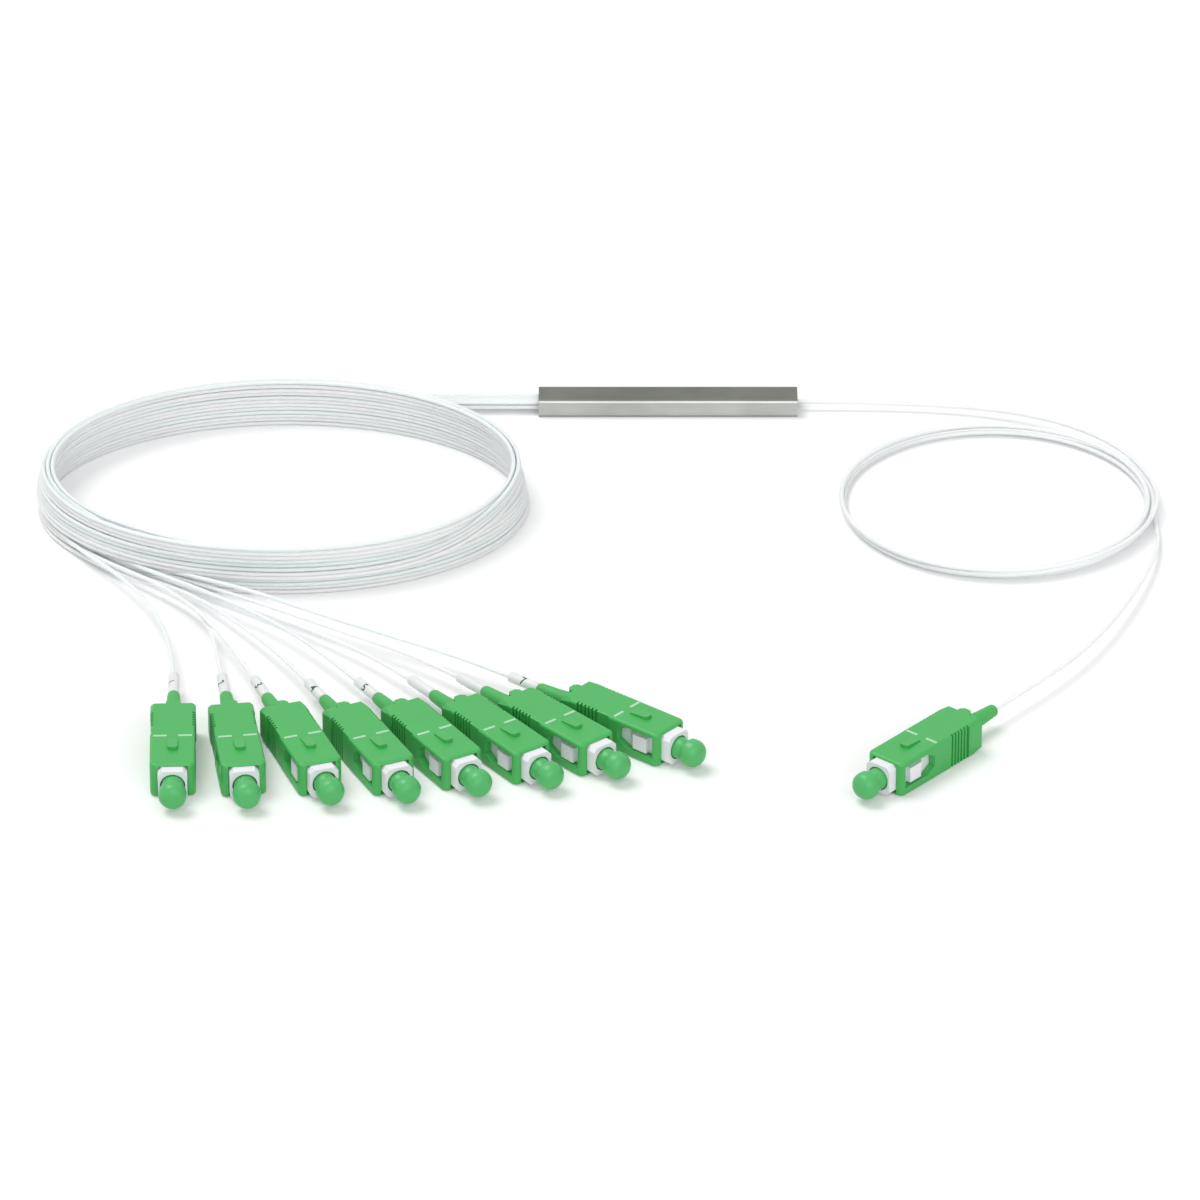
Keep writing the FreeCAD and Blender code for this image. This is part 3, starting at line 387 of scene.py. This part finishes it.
def mottled(name, light, dark, roughness, drift_size, grain=0.0, sockets=()):
    """A finish whose colour drifts between two tones over this many millimetres; its grain, if
    any, is fine."""
    material, shader = finish(name, light, roughness, sockets)
    links = material.node_tree.links
    place = add_node(material, "ShaderNodeTexCoord")
    drift = add_node(material, "ShaderNodeTexNoise", {
        "Vector": place.outputs["Object"], "Scale": 1 / (drift_size * MM), "Detail": 3.0,
        "Roughness": 0.55})
    tone = add_node(material, "ShaderNodeMix", {
        "Factor": drift.outputs["Fac"], LOW_END: (*dark, 1), HIGH_END: (*light, 1)},
        data_type="RGBA")
    links.new(tone.outputs[MIXED], shader.inputs["Base Color"])
    if grain:
        pits = add_node(material, "ShaderNodeTexNoise", {
            "Vector": place.outputs["Object"], "Scale": 1 / (GRAIN_WIDTH * MM), "Detail": 2.0})
        skin = add_node(material, "ShaderNodeBump", {
            "Height": pits.outputs["Fac"], "Strength": grain, "Distance": GRAIN_DEPTH * MM})
        links.new(skin.outputs["Normal"], shader.inputs["Normal"])
    return material


def moulded_polymer(name, light, dark, roughness, grain, sockets=()):
    """A polymer from a mould: its colour drifts faintly over 6 mm, under a fine grain."""
    return mottled(name, light, dark, roughness, 6.0, grain, sockets)


def drawn_steel():
    """Stainless steel, drawn to a tube and brushed along it, so that its lights are long streaks.
    Painted shade and light: flat faces are painted dark grey, upright faces and round edges pale."""
    material, shader = finish("drawn_stainless_painted_shade", linear("B9BBB6"), roughness=0.34,
                              sockets={"Metallic": 1.0})
    links = material.node_tree.links
    place = add_node(material, "ShaderNodeTexCoord")
    facing = add_node(material, "ShaderNodeSeparateXYZ", {"Vector": place.outputs["Normal"]})
    upright = add_node(material, "ShaderNodeMath", {0: facing.outputs["Z"]},
                       operation="ABSOLUTE")
    # Painted shade mask: 0 on upright faces, 1 on flat ones, and the change on the round edge.
    painted_shade_mask = add_node(material, "ShaderNodeMapRange", {
        "Value": upright.outputs[0], "From Min": 0.58, "From Max": 0.80},
        interpolation_type="SMOOTHSTEP")
    # Brush lines run along the tube, about 0.12 mm apart and 6 mm long, with clouds of 9 mm.
    stretch = add_node(material, "ShaderNodeMapping", {
        "Vector": place.outputs["Object"], "Scale": (0.02, 1.0, 1.0)})
    lines = add_node(material, "ShaderNodeTexNoise", {
        "Vector": stretch.outputs["Vector"], "Scale": 1 / (0.12 * MM), "Detail": 3.0})
    cloud = add_node(material, "ShaderNodeTexNoise", {
        "Vector": place.outputs["Object"], "Scale": 1 / (9.0 * MM), "Detail": 2.0})
    both = add_node(material, "ShaderNodeMath", {
        0: lines.outputs["Fac"], 1: cloud.outputs["Fac"]}, operation="ADD")
    tone = add_node(material, "ShaderNodeMapRange", {
        "Value": both.outputs[0], "From Min": 0.7, "From Max": 1.3})
    # Painted light and shade: a pale tone for the upright faces, a dark grey one for the flat
    # faces.
    pale, painted_shade_tone = (add_node(material, "ShaderNodeMix", {
        "Factor": tone.outputs[0], LOW_END: (*linear(low), 1), HIGH_END: (*linear(high), 1)},
        data_type="RGBA") for low, high in (("A9ACA7", "BCBFBA"), ("686A63", "797C74")))
    # Painted shade on the flat faces and painted light on the upright ones, by the mask above.
    skin = add_node(material, "ShaderNodeMix", {
        "Factor": painted_shade_mask.outputs[0], LOW_END: pale.outputs[MIXED], HIGH_END: painted_shade_tone.outputs[MIXED]},
        data_type="RGBA")
    links.new(skin.outputs[MIXED], shader.inputs["Base Color"])
    relief = add_node(material, "ShaderNodeBump", {
        "Height": lines.outputs["Fac"], "Strength": 0.25, "Distance": 0.01 * MM})
    links.new(relief.outputs["Normal"], shader.inputs["Normal"])
    return material


# ---------------------------------------------------------------- sizes and colours

class SplitterSizes(bpy.types.PropertyGroup):
    """Sizes that a user may change."""
    cord: bpy.props.FloatProperty(
        name="Cord diameter", description="Outside of the round jacket",
        default=0.9 * MM, unit="LENGTH")
    coil_across: bpy.props.FloatProperty(
        name="Output coil half width", description="Outermost strand's centre line along X",
        default=50.95 * MM, unit="LENGTH")
    coil_along: bpy.props.FloatProperty(
        name="Output coil half depth", description="Outermost strand's centre line along Y",
        default=37.95 * MM, unit="LENGTH")
    input_radius: bpy.props.FloatProperty(
        name="Input coil radius", description="Middle of the input coil's strands",
        default=31.8 * MM, unit="LENGTH")


class SplitterColours(bpy.types.PropertyGroup):
    """Colours that a user may change."""
    grip: bpy.props.FloatVectorProperty(
        name="Grip", description="Green of the angled-polish plugs", subtype="COLOR",
        default=linear("42B257"))
    cord_cool: bpy.props.FloatVectorProperty(
        name="Cord, cool", description="Cooler tone of the jacket", subtype="COLOR",
        default=linear("EFF8F9"))
    cord_pale: bpy.props.FloatVectorProperty(
        name="Cord, pale", description="Paler tone of the jacket", subtype="COLOR",
        default=linear("FDFDFF"))
    print_ink: bpy.props.FloatVectorProperty(
        name="Ink", description="Figures on the marker sleeves", subtype="COLOR",
        default=linear("1E4A32"))
    floor: bpy.props.FloatVectorProperty(
        name="Floor", description="Studio floor", subtype="COLOR", default=linear("F2F2F2"))


def sizes():
    """The sizes as they are set now."""
    return bpy.context.scene.splitter_sizes


def colours():
    """The colours as they are set now."""
    return bpy.context.scene.splitter_colours


# ---------------------------------------------------------------- cords

def cord_curve(name, points, material):
    """A round cord as one smooth open spline with the route's points as its control points."""
    data = bpy.data.curves.new(name, "CURVE")
    data.dimensions = "3D"
    data.bevel_depth = sizes().cord / 2
    data.bevel_resolution = 3
    data.resolution_u = 4
    data.use_fill_caps = True
    spline = data.splines.new("NURBS")
    spline.points.add(len(points) - 1)
    for slot, (x, y, z) in zip(spline.points, points):
        slot.co = (x * MM, y * MM, z * MM, 1)
    spline.order_u = 3
    spline.use_endpoint_u = True
    cord = bpy.data.objects.new(name, data)
    bpy.context.scene.collection.objects.link(cord)
    data.materials.append(material)
    return cord


def route_length(points):
    """Length in metres of the smooth curve that these control points give."""
    total, last = 0.0, Vector(points[0])
    ends = [Vector(p) for p in points]
    for a, b, c in zip(ends, ends[1:], ends[2:]):
        start = a if a is ends[0] else (a + b) / 2
        stop = c if c is ends[-1] else (b + c) / 2
        for step in range(1, CURVE_PIECES + 1):
            t = step / CURVE_PIECES
            here = start * (1 - t) ** 2 + b * 2 * t * (1 - t) + stop * t * t
            total += (here - last).length
            last = here
    return total * MM


def jacket(number):
    """PVC, drawn through a die: smooth and half matt, and light goes through its skin, so that
    a bundle of them has soft pale shadows and each strand a tone of its own."""
    pale, cool, tone = colours().cord_pale, colours().cord_cool, CORD_TONES[number]
    light = tuple(mix(cool[k], pale[k], tone) for k in range(3))
    dark = tuple(mix(cool[k] * JACKET_SHADE, pale[k] * JACKET_SHADE, tone) for k in range(3))
    skin = translucent(weight=0.85, reach=(1.0, 1.0, 1.0), depth=1.0)
    return mottled(f"pvc_cord_jacket_{number}", light, dark, roughness=0.34, drift_size=14.0,
                   sockets={"IOR": 1.53, **skin})


def coil_centre(turn, inward, height):
    """Point of the output coil's wall, this many strands in from its outermost strand."""
    lean = height / COIL_HEIGHT
    across = sizes().coil_across / MM - COIL_LEAN[0] * lean - STRAND * inward
    along = sizes().coil_along / MM - COIL_LEAN[1] * lean - STRAND * inward
    angle = math.radians(turn)
    return (COIL_MIDDLE[0] + across * POINT_SWELL * math.cos(angle),
            COIL_MIDDLE[1] + along * POINT_SWELL * math.sin(angle), height)


def angles_between(start, end):
    """Angles from start to end at which a coil has its control points."""
    steps = round(abs(end - start) / POINT_STEP)
    return [start + (end - start) * step / steps for step in range(steps + 1)]


def wave(turn, number, size, pace, apart):
    """How far one cord's uneven winding takes it at this turn."""
    return size * math.sin(math.radians(turn * pace + number * apart))


def into_boot(number):
    """The last two points of a cord: straight behind its boot, and in it."""
    return [plug_point(number, -BOOT_END - CORD_STRAIGHT),
            plug_point(number, -BOOT_END + CORD_IN_BOOT)]


def output_route(number):
    """One output cord from the steel tube, round the coil and out to its plug."""
    column, row, leave, drop = BLOCK_PLACE[number]
    # Two rows of four cords leave the tube, and lie over one another where they join the wall.
    layer = row + 4 * column
    place, level = 3 - layer // 2, layer % 2
    lead_height = TUBE_AXIS + (level - 0.5) * LEAD_PITCH[1]
    route = [(-TUBE_EXIT, (place - 1.5) * LEAD_PITCH[0], lead_height)]
    route += [(x, y, lead_height) for x, y in LEAD_ROUTES[place][:-1]]
    join = LEAD_JOINS[place]
    tail = OUTPUT_TAILS[number]
    last = leave + 360 * OUTPUT_LAPS - LET_GO
    for turn in angles_between(join, last):
        # Up the wall from the tube, over the level below, then into its place in the block.
        height = mix(lead_height, LOWEST_ROW + STRAND * layer, ease(turn - join, *RISE))
        height += LEVEL * ease(turn, *CLIMB)
        settled = ease(turn, *SETTLE)
        height = mix(height, TOP_LEVEL + STRAND * row, settled)
        # Down one level a lap, and at the end towards the tail's height.
        for lap in range(1, OUTPUT_LAPS):
            height -= LEVEL * ease(turn, drop + 360 * lap, drop + 360 * lap + STEP_DOWN)
        height = mix(height, tail[-1][2], ease(turn - last, *SINK))
        # One strand outside the block until it settles in its column, and outside again at last.
        inward = mix(-1.0, float(column), settled)
        inward = mix(inward, -OUTSIDE, ease(turn - last, *PART))
        inward += wave(turn, number, *SWAY)
        height = max(height + wave(turn, number, *BOB), ON_FLOOR)
        route.append(coil_centre(turn, inward, height))
    return route + tail[-2::-1] + into_boot(number)


def input_route():
    """The input cord from the steel tube, four turns clockwise, and out to its plug."""
    route = [(TUBE_EXIT, 0.0, TUBE_AXIS)] + INPUT_LEAD[:-1]
    (sway, sway_pace), (bob, bob_pace) = INPUT_SWAY, INPUT_BOB
    for turn in angles_between(*INPUT_ARC):
        lap = (INPUT_ARC[0] - turn) / 360
        # The laps lie beside and over one another, and the loose ones spread at the back.
        back = (1 + math.sin(math.radians(turn))) / 2
        loose = max(0.0, 1 - lap / LOOSE_LAPS)
        outward = (INPUT_BESIDE * math.cos(math.pi * lap) + sway * math.sin(lap * sway_pace)
                   + SPREAD[0] * loose * back)
        height = (INPUT_TOP - INPUT_LOWER * lap + bob * math.sin(lap * bob_pace)
                  + SPREAD[1] * loose * back)
        height = max(height, ON_FLOOR)
        radius = (sizes().input_radius / MM + outward) * POINT_SWELL
        angle = math.radians(turn)
        route.append((INPUT_MIDDLE[0] + radius * math.cos(angle),
                      INPUT_MIDDLE[1] + radius * math.sin(angle), height))
    return route + INPUT_TAIL[-2::-1] + into_boot(9)


class SPLITTER_OT_output_cords(bpy.types.Operator):
    """Eight output cords, wound together in the oval coil"""
    bl_idname = "splitter.output_cords"
    bl_label = "Output cords"

    def execute(self, context):
        for number in OUTPUT_TAILS:
            route = output_route(number)
            cord = cord_curve(f"output_cord_{number}", route, jacket(number))
            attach(cord, "root")
            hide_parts("output_coil", "output_leads", "output_tails")
            route_length(route)
        return {"FINISHED"}


class SPLITTER_OT_input_cord(bpy.types.Operator):
    """The input cord, wound in its own round coil"""
    bl_idname = "splitter.input_cord"
    bl_label = "Input cord"

    def execute(self, context):
        route = input_route()
        cord = cord_curve("input_cord", route, jacket(9))
        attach(cord, "root")
        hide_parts("input_coil", "input_lead", "input_tail")
        route_length(route)
        return {"FINISHED"}


# ---------------------------------------------------------------- the plugs

class SPLITTER_OT_plugs(bpy.types.Operator):
    """Grips, plug frames and ferrules of the nine plugs"""
    bl_idname = "splitter.plugs"
    bl_label = "Plugs"

    def execute(self, context):
        green = colours().grip
        # PBT, dyed through and moulded: half gloss, an even green with a faint grain.
        grip = moulded_polymer("pbt_grip", tuple(green), tuple(c * GRIP_SHADE for c in green),
                               roughness=0.42, grain=0.2)
        # PBT without dye, moulded: a cool opaque white, a little glossier.
        frame_resin = moulded_polymer("pbt_frame", linear("F6F5FA"), linear("ECEBF1"),
                                      roughness=0.4, grain=0.2)
        # Zirconia, ground and polished: a warm white with small sharp lights.
        zirconia = mottled("ground_zirconia", linear("F2F0EA"), linear("ECEAE3"),
                           roughness=0.15, drift_size=1.5, sockets={"IOR": 2.1})
        # Nickel, plated on turned brass and on spring wire: a warm bright metal.
        metal = mottled("nickel_plate", linear("C9C6BE"), linear("BDBAB2"),
                        roughness=0.25, drift_size=1.0, sockets={"Metallic": 1.0})
        for number in PLUGS:
            dress(f"grip_{number}", grip)
            dress(f"plug_frame_{number}", frame_resin)
            dress(f"ferrule_{number}", zirconia)
        dress("stop_bodies", metal)
        dress("ferrule_springs", metal)
        self.dashes()
        return {"FINISHED"}

    def dashes(self):
        """Two white dashes across the top of each grip, beside the key's rear end."""
        # White ink from a pad, a thin coat: matt, and the grip's green shows through it.
        ink = moulded_polymer("white_pad_print", linear("BCE2C2"), linear("AAD6B2"),
                              roughness=0.5, grain=0.1)
        bpy.ops.object.select_all(action="DESELECT")
        bpy.ops.mesh.primitive_cube_add(size=1, location=(0, 0, 0))
        dash = bpy.context.object
        dash.scale = [side * MM for side in DASH_SIZE]
        bpy.ops.object.transform_apply(scale=True)
        bpy.ops.object.mode_set(mode="EDIT")
        bpy.ops.mesh.select_all(action="SELECT")
        bpy.ops.mesh.bevel(offset=DASH_EDGE * MM, segments=2, affect="EDGES")
        bpy.ops.object.mode_set(mode="OBJECT")
        for number in PLUGS:
            for side, across in DASH_ACROSS.items():
                spot = Matrix.Translation((DASH_ALONG * MM, across * MM, GRIP_TOP * MM))
                line = copy_at(dash, f"dash_{side}_{number}", plug_matrix(number) @ spot)
                line.data.materials.append(ink)
                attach(line, f"grip_{number}")
        remove(dash)


class SPLITTER_OT_boots(bpy.types.Operator):
    """Strain-relief boots and marker sleeves"""
    bl_idname = "splitter.boots"
    bl_label = "Boots and sleeves"

    def execute(self, context):
        # TPE, moulded over the crimp: softer than the grip, so its skin is duller.
        rubber = moulded_polymer("tpe_boot", linear("46B45A"), linear("40AB53"),
                                 roughness=0.5, grain=0.3)
        # PVC tube, cut to length: white and half matt, with a soft edge where light enters it.
        tube = moulded_polymer("pvc_marker_tube", linear("F1F2F2"), linear("E4E5E4"),
                               roughness=0.4, grain=0.2, sockets=translucent(
                                   weight=0.3, reach=(1.0, 1.0, 1.0), depth=0.4))
        # Stamped ink: a dull green that is nearly black.
        ink = moulded_polymer("marker_ink", tuple(colours().print_ink),
                              tuple(c * INK_SHADE for c in colours().print_ink),
                              roughness=0.5, grain=0.1)
        boot = turned("boot_master", BOOT_RINGS)
        sleeve = turned("sleeve_master", SLEEVE_RINGS, sides=32)
        for number in PLUGS:
            piece = copy_at(boot, f"strain_boot_{number}", plug_matrix(number))
            piece.data.materials.append(rubber)
            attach(piece, "root")
            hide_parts(f"boot_{number}")
        for number, figure in SLEEVE_NUMBERS.items():
            piece = copy_at(sleeve, f"marker_sleeve_{number}", plug_matrix(number))
            piece.data.materials.append(tube)
            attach(piece, "root")
            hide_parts("marker_sleeves")
            printed = digit_on_sleeve(figure, FIGURE_TURNS[number])
            mark = copy_at(printed, f"figure_{number}", plug_matrix(number))
            mark.data.materials.append(ink)
            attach(mark, "root")
            remove(printed)
        remove(boot)
        remove(sleeve)
        return {"FINISHED"}


class SPLITTER_OT_caps(bpy.types.Operator):
    """Dust caps on the ferrules"""
    bl_idname = "splitter.caps"
    bl_label = "Dust caps"

    def execute(self, context):
        # PE, moulded: waxy, a lighter green than the grip because light enters its skin.
        wax = moulded_polymer("pe_dust_cap", linear("50BA68"), linear("48AF5F"),
                              roughness=0.36, grain=0.15, sockets=translucent(
                                  weight=0.2, reach=(0.4, 1.0, 0.5), depth=0.5))
        cap = turned("cap_master", CAP_RINGS, sides=48)
        for number in PLUGS:
            piece = copy_at(cap, f"cap_shell_{number}", plug_matrix(number))
            piece.data.materials.append(wax)
            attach(piece, f"cap_{number}")
            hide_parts(f"dust_cap_{number}")
        remove(cap)
        return {"FINISHED"}


class SPLITTER_OT_module(bpy.types.Operator):
    """Finishes of the steel tube and what is in it"""
    bl_idname = "splitter.module"
    bl_label = "Steel tube"

    def execute(self, context):
        # Drawn steel, with painted shade on its flat faces and painted light on its upright ones.
        dress("steel_tube", drawn_steel())
        # Epoxy, poured and cured: nearly black, with a smooth half-glossy face.
        resin = moulded_polymer("cured_resin", linear("3A3D3B"), linear("2C2F2D"),
                                roughness=0.35, grain=0.1)
        dress("end_plug_in", resin)
        dress("end_plug_out", resin)
        # Silica glass, sawn and polished: clear and cool, drawn as a pale solid.
        glass = mottled("silica", linear("DDE6E8"), linear("D2DDDF"),
                        roughness=0.1, drift_size=2.0, sockets={"IOR": 1.45})
        for node in ("plc_chip", "fibre_array_in", "fibre_array_out"):
            dress(node, glass)
        return {"FINISHED"}


# ---------------------------------------------------------------- the stage

def seen_share(owner):
    """1 for what is seen, straight on, in a mirror or through glass, and 0 for light."""
    path = add_node(owner, "ShaderNodeLightPath")
    seen = add_node(owner, "ShaderNodeMath", {
        0: path.outputs["Is Camera Ray"], 1: path.outputs["Is Glossy Ray"]}, operation="MAXIMUM")
    through = add_node(owner, "ShaderNodeMath", {
        0: seen.outputs[0], 1: path.outputs["Is Transmission Ray"]}, operation="MAXIMUM")
    return through.outputs[0]


def soft_sun(name, towards, strength, spread):
    """Even light from far away, soft by its spread in degrees; towards points to the light."""
    bpy.ops.object.light_add(type="SUN", location=[c * MM for c in towards])
    lamp = bpy.context.object
    lamp.name = name
    lamp.data.energy = strength
    lamp.data.angle = math.radians(spread)
    lamp.rotation_euler = Vector(towards).to_track_quat("Z", "Y").to_euler()


class SPLITTER_OT_stage(bpy.types.Operator):
    """Camera, floor, sky and lamps"""
    bl_idname = "splitter.stage"
    bl_label = "Stage"

    def execute(self, context):
        scene = context.scene
        scene.view_settings.view_transform = "Standard"
        bpy.ops.object.camera_add(location=[c * MM for c in CAMERA_PLACE],
                                  rotation=(math.radians(90 - CAMERA_DIP), 0, 0))
        camera = context.object
        camera.data.sensor_width = CAMERA_SENSOR
        camera.data.lens = CAMERA_LENS
        camera.data.clip_end = 20
        scene.camera = camera
        self.floor(context)
        self.sky(scene)
        for name, (towards, strength, spread) in LAMPS.items():
            soft_sun(name, towards, strength, spread)
        return {"FINISHED"}

    def floor(self, context):
        """A matt white floor that shines a little where it is seen, and keeps the shadows."""
        bpy.ops.mesh.primitive_grid_add(x_subdivisions=8, y_subdivisions=8, size=FLOOR_SIDE)
        ground = context.object
        ground.name = "studio_floor"
        ground.location = (0, FLOOR_BACK, -FLOOR_DROP * MM)
        bpy.ops.object.transform_apply(location=True)
        # Matt paper: no gloss at all.
        material, shader = finish("matt_white_floor", tuple(colours().floor), roughness=0.9,
                                  sockets={"Specular IOR Level": 0.0})
        lift = add_node(material, "ShaderNodeMath", {0: seen_share(material), 1: FLOOR_LIFT},
                        operation="MULTIPLY")
        glow = add_node(material, "ShaderNodeEmission", {"Strength": lift.outputs[0]})
        both = add_node(material, "ShaderNodeAddShader", {0: shader.outputs[0],
                        1: glow.outputs[0]})
        output = material.node_tree.nodes["Material Output"]
        material.node_tree.links.new(both.outputs[0], output.inputs["Surface"])
        ground.data.materials.append(material)

    def sky(self, scene):
        """White all round: full strength where it is seen or mirrored, softer as light."""
        world = bpy.data.worlds.new("studio_sky")
        scene.world = world
        world.use_nodes = True
        back = world.node_tree.nodes["Background"]
        back.inputs["Color"].default_value = (1, 1, 1, 1)
        level = add_node(world, "ShaderNodeMapRange", {
            "Value": seen_share(world), "To Min": SKY_AS_LIGHT, "To Max": 1.0})
        world.node_tree.links.new(level.outputs[0], back.inputs["Strength"])


# ---------------------------------------------------------------- panel and running

class SPLITTER_PT_panel(bpy.types.Panel):
    """The splitter's sizes, colours and steps"""
    bl_label = "Splitter"
    bl_space_type = "VIEW_3D"
    bl_region_type = "UI"
    bl_category = "Splitter"

    def draw(self, context):
        for group, kind in ((sizes(), SplitterSizes), (colours(), SplitterColours)):
            for name in kind.__annotations__:
                self.layout.prop(group, name)
        for step in STEPS:
            self.layout.operator(step.bl_idname)


STEPS = (SPLITTER_OT_stage, SPLITTER_OT_module, SPLITTER_OT_plugs, SPLITTER_OT_boots,
         SPLITTER_OT_caps, SPLITTER_OT_output_cords, SPLITTER_OT_input_cord)
CLASSES = (SplitterSizes, SplitterColours, *STEPS, SPLITTER_PT_panel)


def register():
    for entry in CLASSES:
        bpy.utils.register_class(entry)
    bpy.types.Scene.splitter_sizes = bpy.props.PointerProperty(type=SplitterSizes)
    bpy.types.Scene.splitter_colours = bpy.props.PointerProperty(type=SplitterColours)


def unregister():
    del bpy.types.Scene.splitter_colours
    del bpy.types.Scene.splitter_sizes
    for entry in reversed(CLASSES):
        bpy.utils.unregister_class(entry)


def main():
    """Register the add-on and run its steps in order."""
    register()
    for step in STEPS:
        family, name = step.bl_idname.split(".")
        getattr(getattr(bpy.ops, family), name)()


if __name__ == "__main__":
    main()
